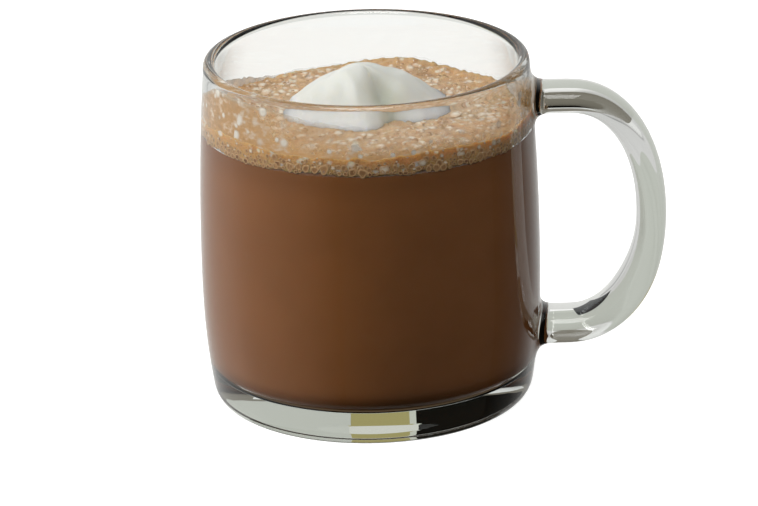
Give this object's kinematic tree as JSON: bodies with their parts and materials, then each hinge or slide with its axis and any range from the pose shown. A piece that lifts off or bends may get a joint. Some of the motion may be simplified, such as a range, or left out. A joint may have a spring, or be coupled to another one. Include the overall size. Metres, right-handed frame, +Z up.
{
  "type": "hot chocolate in a glass mug",
  "caption": "Round clear glass mug with a looped side handle, filled with hot chocolate under a layer of milk foam and a peaked dollop of whipped cream.",
  "frame": {"origin": "on the mug's axis at the flat underside that stands on the table", "axes": "+Z up along the mug's axis, +X towards the handle, +Y to the mug's far side as seen with the handle on the right"},
  "size_m": [0.1211, 0.0882, 0.092],
  "materials": {
    "glass": "clear, smooth, fire-polished",
    "chocolate": "smooth milky liquid",
    "foam": "fine wet bubbles",
    "cream": "soft satin"
  },
  "bodies": {
    "root": {"mug": "glass", "chocolate": "chocolate", "foam": "foam", "cream": "cream"}
  },
  "joints": []
}
